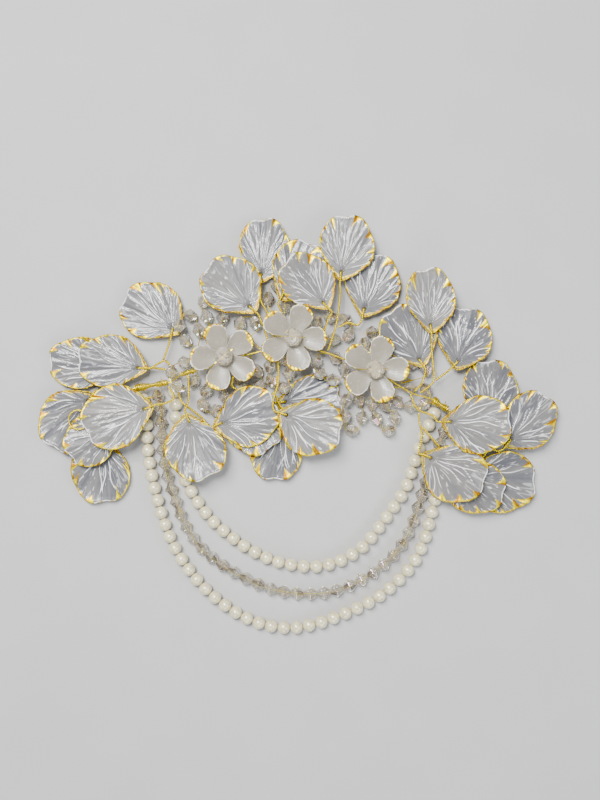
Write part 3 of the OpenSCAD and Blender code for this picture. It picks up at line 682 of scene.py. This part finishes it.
def cut_crystal(name, colour, film, clear, milky):
    """Cut glass with a thin rainbow coating, its facets painted bright, warm, cool or dark as
    painted reflections and shade.
    """
    material, tree, bsdf = shader(name)
    tone_and_shade = attribute(tree, "tone_and_shade", "Fac")
    cloud = mottle(tree, 700, 2)
    # Each facet's colour is painted light or shade, picked by its tone
    facet_light_and_shade = FACET_LIGHT_AND_SHADE[0][1]
    for low, shade in FACET_LIGHT_AND_SHADE[1:]:
        facet = step_mask(tree, tone_and_shade, low, low + 0.02)
        facet_light_and_shade = blend_colours(tree, facet, facet_light_and_shade, shaded(colour, shade))
    streak = maths(tree, "MULTIPLY_ADD", cloud["Mask"], 0.12, milky)
    feed(tree, bsdf, {
        "Base Color": blend_colours(tree, streak, facet_light_and_shade, colour),
        "Transmission Weight": clear, "Roughness": 0.02, "IOR": 1.6, "Coat Weight": 0.6,
        "Coat Roughness": 0.02, "Thin Film Thickness": film, "Thin Film IOR": 1.9,
    })
    return material


def pearl_coat(name, colour):
    """Glossy pearl coating, finely mottled."""
    material, tree, bsdf, cloud = mottled_shader(name, colour, (0.76, 0.74, 0.7), 620, 3)
    feed(tree, bsdf, {
        "Roughness": maths(tree, "MULTIPLY_ADD", cloud["Mask"], 0.12, 0.26),
        "Subsurface Weight": 0.1, "Subsurface Radius": (0.0008, 0.0008, 0.0006),
        "Specular IOR Level": 0.8, "Coat Weight": 1, "Coat IOR": 1.7, "Coat Roughness": 0.16,
    })
    add_bump(tree, bsdf, cloud["Height"], 0.12, 0.0001)
    return material


def beading_thread(name, colour):
    """Twisted thread with a soft shine."""
    material, tree, bsdf, cloud = mottled_shader(name, colour, (0.65, 0.65, 0.65), 2500, 2)
    feed(tree, bsdf, {"Roughness": 0.45})
    add_bump(tree, bsdf, cloud["Height"], 0.4, 0.0001)
    return material


def floor_paint(name, colour):
    """Matt paint with a faint cloudiness."""
    material, tree, bsdf, _ = mottled_shader(name, colour, (1.03, 1.03, 1.03), 40, 4)
    feed(tree, bsdf, {"Roughness": 0.8})
    return material


def finish_nodes(material, *names):
    """Gives CAD nodes whose shape is right a better material."""
    for name in names:
        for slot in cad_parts[name].material_slots:
            slot.material = material


# Petals and flowers

def begin_sheet(rays, bands):
    """A grid to wrap round a hole, with the attributes that the gilded acrylic reads."""
    bm = bmesh.new()
    bmesh.ops.create_grid(bm, x_segments=rays, y_segments=bands, size=1)
    vectors, numbers = bm.verts.layers.float_vector, bm.verts.layers.float
    return bm, vectors.new("polar"), vectors.new("rim"), numbers.new("gilt"), numbers.new("vein")


def place_vertex(v, r, angle, z):
    """Moves a vertex of the grid to its radius and angle round the hole, in metres."""
    angle = math.radians(angle)
    v.co = Vector((r * math.cos(angle), r * math.sin(angle), z)) / MM


def rim_bead(inward):
    """Height of the bead of gilding at a distance in from the rim in mm."""
    return RIM_BEAD * max(0, 1 - inward / RIM_BEAD_WIDTH)


def finish_sheet(bm, thickness, place, node, material):
    """Closes a wrapped grid, turns it face up, thickens it and puts it in the place of its node."""
    bmesh.ops.remove_doubles(bm, verts=bm.verts, dist=0.002)
    bmesh.ops.recalc_face_normals(bm, faces=bm.faces)
    if sum(f.normal.z for f in bm.faces) < 0:
        bmesh.ops.reverse_faces(bm, faces=bm.faces)
    bmesh.ops.solidify(bm, geom=bm.faces[:], thickness=thickness / MM)
    bmesh.ops.transform(bm, matrix=Matrix.Scale(MM, 4) @ place, verts=bm.verts)
    add_piece(mesh_from(bm, node + "_gilded"), material, True, node)


def petal_gilding(angle, inward, gathers):
    """Gilding at an angle and a distance in from the rim in mm: depth in mm, painted shade of the
    gold, crease, side.
    """
    side = min(1, max(0, (abs(angle) - SIDES) / SIDES_TURN))
    depth, tone_and_shade, crease = RIM_GILT + SIDE_GILT * side - inward, -0.2 + 0.4 * side, 0
    if NOTCH[0] < angle < NOTCH[1]:
        depth = NOTCH_GILT - inward
    for spot, width, deep, bend, turn in gathers:
        if inward >= deep:
            continue
        half = width * (1 - inward / deep) ** 1.3
        across = (angle - spot - bend * inward) / half
        if abs(across) < 1:
            reach = (1 - abs(across)) * half * 0.4
            if reach > depth:
                # Painted shade: one side of a gather's crease is darker than the other
                depth, tone_and_shade = reach, across * turn + 0.1
            crease += turn * (1 - abs(across)) * (1 - inward / deep)
    return depth, tone_and_shade, crease, side


def petal_veins(rng, count):
    """Long veins that run out from the hole, evenly spread and then drawn at random."""
    veins = []
    for k in range(count):
        middle = -VEIN_FAN / 2 + VEIN_FAN * k / (count - 1) + rng.uniform(-5, 5)
        drawn = [rng.uniform(*limits) for limits in VEIN_LIMITS]
        veins.append((middle, *drawn, rng.choice(VEIN_FORKS)))
    return veins


def vein_height(angle, share, radius, veins):
    """Height of the veins at a place on the petal, 0 to 1."""
    height = 0
    for middle, bend, wave, phase, start, stop, width, strength, fork in veins:
        if not start < share < stop:
            continue
        at = middle + bend * (share - start) + wave * math.sin(9 * share + phase)
        if share > FORK_FROM:
            at += math.copysign(fork * (share - FORK_FROM), angle - at)
        off = math.radians(abs(angle - at)) * radius / width
        if off < 1:
            fade = min(1, (share - start) * 9, (stop - share) * 6)
            height = max(height, strength * fade * (1 - off * off))
    return height


def make_petal(row, settings, material):
    """A cupped scallop: a grid wrapped round the hole, raised, folded and thickened."""
    name = "petal_" + row[0]
    rng = random.Random(name)
    seed = rng.random()
    veins = petal_veins(rng, settings.veins)
    gathers = [(a + rng.uniform(-3, 3), w * rng.uniform(0.6, 1.1), d * rng.uniform(0.6, 1.25),
                rng.uniform(-1.6, 1.6), rng.choice((-1, 1))) for a, w, d in GATHERS]
    length = settings.length
    bm, polar_layer, rim_layer, gilt_layer, vein_layer = begin_sheet(rays=300, bands=18)
    over_layer = bm.verts.layers.float.new("over")
    # Petals that lie over others are painted paler, a painted light that stands in for those below
    # showing through
    over = min(1, max(0, (row[3] - OVER_FROM) / OVER_RISE))
    reaches = {}
    for v in bm.verts:
        u, w = v.co.x, ((v.co.y + 1) / 2) ** 0.75
        angle = u * FAN / FAN_SHARE
        if abs(u) >= FAN_SHARE:
            angle = math.copysign(FAN + (abs(u) - FAN_SHARE) / (1 - FAN_SHARE) * (180 - FAN), u)
        angle = round(angle, 4)
        if angle not in reaches:
            reaches[angle] = smooth_at(PETAL_OUTLINE, angle) * length
        rim = reaches[angle]
        r = PETAL_HOLE + (rim - PETAL_HOLE) * w
        inward = (rim - r) / MM
        depth, tone_and_shade, crease, side = petal_gilding(angle, inward, gathers)
        share = r / length
        vein = vein_height(angle, share, r / MM, veins)
        ripple = noise.noise(Vector((angle * 0.085, share * 1.4, seed * 50)))
        ripple += 0.5 * noise.noise(Vector((angle * 0.23, share * 2.6, seed * 90)))
        rise = settings.cup * share ** 2
        rise += settings.fold * share ** 3 * math.sin(math.radians(5 * angle + 40))
        rise += settings.wall * 0.35
        rise += settings.ripple * ripple * share
        rise += settings.crease * crease
        rise += settings.vein * vein
        place_vertex(v, r, -angle, rise + rim_bead(inward))
        v[polar_layer] = (angle / 360, share, seed)
        v[rim_layer] = (inward, side, tone_and_shade)
        v[gilt_layer] = depth
        v[vein_layer] = vein
        v[over_layer] = over
    finish_sheet(bm, settings.wall * PETAL_SHEET, petal_place(row), name, material)


def lobe_reach(local):
    """Reach of a lobe's rim at an angle from its middle, as a share of the flower's width."""
    slot = LOBE_OUTLINE[0][1]
    p = [(-HALF_LOBE, slot)] + LOBE_OUTLINE + [(HALF_LOBE, slot)] * 2
    i = max(k for k in range(1, len(p) - 2) if p[k][0] <= local + TINY)
    around = [q[1] for q in p[i - 1:i + 3]]
    return curve_between(*around, (local - p[i][0]) / (p[i + 1][0] - p[i][0]))


def make_flower(row, settings, material):
    """Five cupped lobes: a grid wrapped round the centre, cut in at each slot."""
    name, x, y, z, turn = row
    rng = random.Random("flower" + name)
    bm, polar_layer, rim_layer, gilt_layer, _ = begin_sheet(rays=200, bands=12)
    spots = [(rng.uniform(-16, 16), rng.uniform(7, 13), rng.uniform(1.2, 2.4))
             for _ in range(LOBES)]
    for v in bm.verts:
        angle = (v.co.x + 1) * 180
        w = (v.co.y + 1) / 2
        lobe = int((angle + HALF_LOBE) // (2 * HALF_LOBE)) % LOBES
        local = (angle + HALF_LOBE) % (2 * HALF_LOBE) - HALF_LOBE
        rim = lobe_reach(local) * settings.width
        r = FLOWER_HOLE + (rim - FLOWER_HOLE) * w
        share = 2 * r / settings.width
        inward = (rim - r) / MM
        spot, wide, deep = spots[lobe]
        depth = deep * math.exp(-((local - spot) / wide) ** 2) * min(1, share * 1.2)
        if local < 0:
            depth = max(depth, 0.3)
        tone_and_shade = math.sin(0.5 * local + lobe) * 0.6
        gilt = min(1, max(0, 0.5 + (depth - inward) / 0.7))
        dent = FLOWER_DENT * max(0, 1 - inward / 2) * gilt * math.sin(local * 0.5) ** 2
        rise = settings.cup * share ** 2
        rise += share * SLOT_RISE * (local / HALF_LOBE) ** 2
        rise += settings.wall / 2
        place_vertex(v, r, angle, rise + (rim_bead(inward) - dent))
        v[polar_layer] = (angle / 360, share, 0.1 * lobe + 0.5)
        v[rim_layer] = (inward, 0, tone_and_shade)
        v[gilt_layer] = depth - inward
    place = Matrix.Translation(Vector((x, y, z)) + CENTRING)
    place = place @ Matrix.Rotation(math.radians(turn), 4, "Z")
    finish_sheet(bm, settings.wall * FLOWER_SHEET, place, "flower_" + name, material)


def node_beads(name):
    """Points of each bead of a CAD node, a string's beads in their order along it."""
    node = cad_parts[name]
    group = {}

    def root(key):
        while group[key] != key:
            group[key] = group[group[key]]
            key = group[key]
        return key

    places, keys = {}, []
    for v in node.data.vertices:
        place = node.matrix_world @ v.co
        key = tuple(round(c / MM, 3) for c in place)
        places.setdefault(key, place)
        group.setdefault(key, key)
        keys.append(key)
    for edge in node.data.edges:
        a, b = root(keys[edge.vertices[0]]), root(keys[edge.vertices[1]])
        if a != b:
            group[a] = b
    beads = {}
    for key, place in places.items():
        beads.setdefault(root(key), []).append(place)
    return list(beads.values())


def middle_of(points):
    """The middle of the points' box."""
    return Vector([(min(p[k] for p in points) + max(p[k] for p in points)) / 2 for k in range(3)])


def copy_shapes(name, shape, places):
    """A mesh with a copy of a shape at each place, its facets toned at random; on cut glass that
    value picks each facet's painted light or shade.
    """
    model = mesh_from(shape, name + "_model")
    bm = bmesh.new()
    for place in places:
        made = len(bm.verts)
        bm.from_mesh(model)
        bmesh.ops.transform(bm, matrix=place, verts=bm.verts[made:])
    bpy.data.meshes.remove(model)
    tone_and_shade = bm.faces.layers.float.new("tone_and_shade")
    rng = random.Random(name)
    for face in bm.faces:
        # Borders take a border tone and facets any tone: painted highlight or shade on cut glass
        face[tone_and_shade] = rng.choice(BORDER_LIGHT_AND_SHADE) if face.material_index else rng.random()
        face.material_index = 0
    return mesh_from(bm, name)


def make_pearls(name, settings, material):
    """Round pearls, each a little shorter along its string."""
    middles = [middle_of(bead) for bead in node_beads(name)]
    ball = bmesh.new()
    bmesh.ops.create_uvsphere(ball, u_segments=20, v_segments=14, radius=0.5)
    size = Matrix.Diagonal((settings.pearl_width, settings.pearl_width, settings.pearl_length, 1))
    places = []
    for i, middle in enumerate(middles):
        along = middles[min(i + 1, len(middles) - 1)] - middles[max(i - 1, 0)]
        turn = along.to_track_quat("Z", "Y").to_matrix().to_4x4()
        places.append(Matrix.Translation(middle) @ turn @ size)
    add_piece(copy_shapes(name + "_round", ball, places), material, True, name)


def cut_shape(segments, profile, turned):
    """A cut bead: a sphere's rings moved out to a profile, its facets with narrow borders."""
    rings = 2 * len(profile)
    half = profile + profile[::-1]
    bm = bmesh.new()
    bmesh.ops.create_uvsphere(bm, u_segments=segments, v_segments=rings + 1, radius=1)
    for v in bm.verts:
        ring = round(math.acos(max(-1, min(1, v.co.z))) / math.pi * (rings + 1))
        if ring in (0, rings + 1):
            v.co = Vector((0, 0, math.copysign(0.5, v.co.z)))
            continue
        reach, height = half[ring - 1]
        angle = math.atan2(v.co.y, v.co.x) + turned * ring * math.pi / segments
        v.co = Vector((math.cos(angle) * reach / 2, math.sin(angle) * reach / 2,
                       math.copysign(height / 2, v.co.z)))
    if turned:
        bmesh.ops.triangulate(bm, faces=bm.faces[:])
    bmesh.ops.recalc_face_normals(bm, faces=bm.faces[:])
    facets = [face for face in bm.faces if face.calc_area() > BORDERED]
    for face in bmesh.ops.inset_individual(bm, faces=facets, thickness=BORDER)["faces"]:
        face.material_index = 1
    return bm


def make_cut_beads(name, width, length, segments, profile, turned, material):
    """Cut glass beads that lie as those of a CAD node do."""
    places = []
    size = Matrix.Diagonal((width, width, length, 1))
    for bead in node_beads(name):
        points = numpy.array([tuple(p) for p in bead])
        spread, axes = numpy.linalg.eigh(numpy.cov(points.T))
        lone = 0 if spread[1] - spread[0] > spread[2] - spread[1] else 2
        turn = Vector(axes[:, lone]).to_track_quat("Z", "Y").to_matrix().to_4x4()
        places.append(Matrix.Translation(middle_of(bead)) @ turn @ size)
    mesh = copy_shapes(name + "_cut", cut_shape(segments, profile, turned), places)
    add_piece(mesh, material, False, name)


# Operators

class HAIRVINE_OT_petals(bpy.types.Operator):
    """Make the frosted petals with their veins and gilded rims"""
    bl_idname = "hairvine.petals"
    bl_label = "Make Petals"

    def execute(self, context):
        settings = context.scene.vine_petals
        gold = context.scene.vine_wires.gold
        material = gilded_acrylic("petal_acrylic", settings.body, settings.vein_and_rim_highlight, gold,
                                  see_through=0.76, veined=1, gloss=0.3)
        for row in PETALS:
            make_petal(row, settings, material)
        return {"FINISHED"}


class HAIRVINE_OT_flowers(bpy.types.Operator):
    """Make the three flowers with their gilded gathers"""
    bl_idname = "hairvine.flowers"
    bl_label = "Make Flowers"

    def execute(self, context):
        settings = context.scene.vine_flowers
        gold = context.scene.vine_wires.gold
        # The pale colour is painted highlight along the rims and veins
        material = gilded_acrylic("flower_acrylic", settings.body, (0.93, 0.91, 0.86), gold,
                                  see_through=0.86, veined=0.3, gloss=0.12)
        for row in FLOWERS:
            make_flower(row, settings, material)
        return {"FINISHED"}


class HAIRVINE_OT_beads(bpy.types.Operator):
    """Finish the crystals, pearls, centre beads and threads"""
    bl_idname = "hairvine.beads"
    bl_label = "Finish Beads"

    def execute(self, context):
        settings = context.scene.vine_beads
        crystal = cut_crystal("crystal_glass", settings.crystal, settings.film, clear=0.83, milky=0)
        for name in ("crystal_clusters_left", "crystal_clusters_middle", "crystal_clusters_right",
                     "crystals_middle"):
            make_cut_beads(name, settings.crystal_width, settings.crystal_length,
                           CRYSTAL_FACETS, CRYSTAL_RINGS, False, crystal)
        cream = shaded(settings.crystal, (1, 0.97, 0.89))
        centre = cut_crystal("centre_glass", cream, 0, clear=0.7, milky=0.26)
        for name in ("centre_bead_left", "centre_bead_middle", "centre_bead_right"):
            make_cut_beads(name, settings.centre_width, settings.centre_width,
                           CENTRE_FACETS, CENTRE_RINGS, True, centre)
        coating = pearl_coat("pearl_coating", settings.pearl)
        for name in ("pearls_inner", "pearls_outer"):
            make_pearls(name, settings, coating)
        thread = beading_thread("beading_thread", settings.thread)
        finish_nodes(thread, "thread_inner", "thread_outer")
        gold = gold_wire(context)
        centres = [middle_of(bead) / MM - CENTRING for bead in node_beads("crystals_middle")]
        ties = [Vector(end) for end in MIDDLE_TIES]
        if (centres[0] - ties[0]).length > (centres[-1] - ties[0]).length:
            centres.reverse()
        line = even_route(smooth_route([ties[0]] + centres + [ties[1]], 4), 0.2)
        pair = [(wound(line, MIDDLE_TWIST, MIDDLE_LAY, start), MIDDLE_STRAND)
                for start in (0, math.pi)]
        wire_piece("thread_middle_twisted", pair, gold, "thread_middle")
        return {"FINISHED"}


class HAIRVINE_OT_stems(bpy.types.Operator):
    """Make the twisted pairs that carry the petals"""
    bl_idname = "hairvine.stems"
    bl_label = "Make Stems"

    def execute(self, context):
        settings = context.scene.vine_wires
        gold = gold_wire(context)
        lay = settings.lay / MM
        strand = settings.stem / MM * STRAND
        petals = {row[0]: row for row in PETALS}
        for group in ("left", "top", "right", "front"):
            routes = []
            for petal, route in STEMS.items():
                if group not in petal:
                    continue
                hole = petal_place(petals[petal][:6] + (1, 1))
                hole = hole @ Matrix.Rotation(math.radians(HOOK_TURNS.get(petal, 0)), 4, "Z")
                hook = [hole @ Vector(p) - CENTRING for p in HOOK]
                line = even_route(smooth_route([Vector(p) for p in route] + hook, 8), lay / 9)
                for start in (0, math.pi):
                    routes.append((wound(line, strand * STRAND_TWIST, lay, start), strand))
            wire_piece("stems_" + group + "_twisted", routes, gold, "stems_" + group)
        return {"FINISHED"}


class HAIRVINE_OT_spine(bpy.types.Operator):
    """Make the spine with its pin loops and the fine wires wound round it"""
    bl_idname = "hairvine.spine"
    bl_label = "Make Spine"

    def execute(self, context):
        settings = context.scene.vine_wires
        gold = gold_wire(context)
        radius = settings.spine / MM / 2
        ends = []
        for x, y, z, start, stop in PIN_LOOPS:
            turns = [math.radians(start + (stop - start) * k / PIN_LOOP_STEPS)
                     for k in range(PIN_LOOP_STEPS + 1)]
            ends.append([Vector((x + PIN_LOOP_RADIUS * math.cos(turn),
                                 y + PIN_LOOP_RADIUS * math.sin(turn), z)) for turn in turns])
        route = smooth_route(SPINE_ROUTE, 6)
        whole = list(reversed(ends[0])) + route[1:-1] + ends[1]
        routes = [
            (even_route(whole, 0.6), radius * SPINE_CORE),
            (wound(even_route(whole, 0.25), radius * 0.8, SPINE_LAY), radius * SPINE_WRAP),
        ]
        rng = random.Random("clump")
        clump = even_route(smooth_route([Vector(p) for p in CLUMP_ROUTE], 8), 0.08)
        for reach, lay, start, wander in CLUMP_LAYERS:
            routes.append((wound(clump, reach, lay, start, wander, rng), FINE_WIRE))
        wire_piece("spine_wound", routes, gold, "spine_wire", sides=2)
        finish_nodes(gold, "cluster_wires_left", "cluster_wires_middle", "cluster_wires_right",
                     "flower_wires")
        for name, a, b in COILS:
            rng = random.Random(name)
            a, b = Vector(a), Vector(b)
            core = [a.lerp(b, k / WINDING_STEPS) for k in range(WINDING_STEPS + 1)]
            layers = []
            for reach, lay, wander, first, last in WINDINGS:
                start = rng.uniform(0, 6)
                layers.append((wound(core[first:last], reach, lay, start, wander, rng), FINE_WIRE))
            foot, out = a + (b - a) * LOOSE_FOOT, Vector(LOOSE_WAY).normalized()
            loose = [foot + out * 0.8, foot + out * 2, foot + out * 3 + Vector((-0.5, 0, 0.2))]
            layers.append((loose, FINE_WIRE))
            wire_piece(name + "_winding", layers, gold, name)
        return {"FINISHED"}


class HAIRVINE_OT_stage(bpy.types.Operator):
    """Set up the floor, the soft lights and the camera overhead"""
    bl_idname = "hairvine.stage"
    bl_label = "Set Up Stage"

    def execute(self, context):
        settings = context.scene.vine_stage
        bm = bmesh.new()
        bmesh.ops.create_grid(bm, x_segments=1, y_segments=1, size=3)
        floor = link_object("floor", mesh_from(bm, "floor"))
        floor.data.materials.append(floor_paint("floor_paint", settings.floor))
        floor.location.z = -0.0002

        world = bpy.data.worlds.new("studio")
        context.scene.world = world
        world.use_nodes = True
        feed(world.node_tree, world.node_tree.nodes["Background"],
             {"Color": (0.85, 0.9, 1, 1), "Strength": 0.3})
        for name, place, size, power, colour in LIGHTS:
            data = bpy.data.lights.new(name, "AREA")
            data.shape = "DISK"
            data.size = size
            data.energy = power
            data.color = colour
            lamp = link_object(name, data)
            lamp.location = place
            lamp.rotation_euler = Vector(place).to_track_quat("Z", "Y").to_euler()

        camera = bpy.data.cameras.new("overhead")
        camera.sensor_fit = "VERTICAL"
        camera.sensor_height = SENSOR
        height = settings.camera_height
        camera.lens = SENSOR * (height - MIDDLE_HEIGHT) / (PICTURE * settings.pixel)
        eye = link_object("overhead", camera)
        eye.location = (*OVERHEAD, height)
        context.scene.camera = eye
        return {"FINISHED"}


OPERATORS = [
    HAIRVINE_OT_petals, HAIRVINE_OT_flowers, HAIRVINE_OT_beads, HAIRVINE_OT_stems,
    HAIRVINE_OT_spine, HAIRVINE_OT_stage,
]


class HAIRVINE_PT_panel(bpy.types.Panel):
    bl_label = "Hair Vine"
    bl_space_type = "VIEW_3D"
    bl_region_type = "UI"
    bl_category = "Hair Vine"

    def draw(self, context):
        for operator in OPERATORS:
            self.layout.operator(operator.bl_idname)
        for name, group in GROUPS.items():
            box = self.layout.box()
            box.label(text=name.replace("vine_", "").capitalize())
            for prop in group.__annotations__:
                box.prop(getattr(context.scene, name), prop)


def register():
    for name, group in GROUPS.items():
        bpy.utils.register_class(group)
        setattr(bpy.types.Scene, name, PointerProperty(type=group))
    for operator in OPERATORS:
        bpy.utils.register_class(operator)
    bpy.utils.register_class(HAIRVINE_PT_panel)


def unregister():
    bpy.utils.unregister_class(HAIRVINE_PT_panel)
    for operator in reversed(OPERATORS):
        bpy.utils.unregister_class(operator)
    for name, group in GROUPS.items():
        delattr(bpy.types.Scene, name)
        bpy.utils.unregister_class(group)


def main():
    register()
    bpy.ops.hairvine.stage()
    bpy.ops.hairvine.petals()
    bpy.ops.hairvine.flowers()
    bpy.ops.hairvine.beads()
    bpy.ops.hairvine.stems()
    bpy.ops.hairvine.spine()


if __name__ == "__main__":
    main()
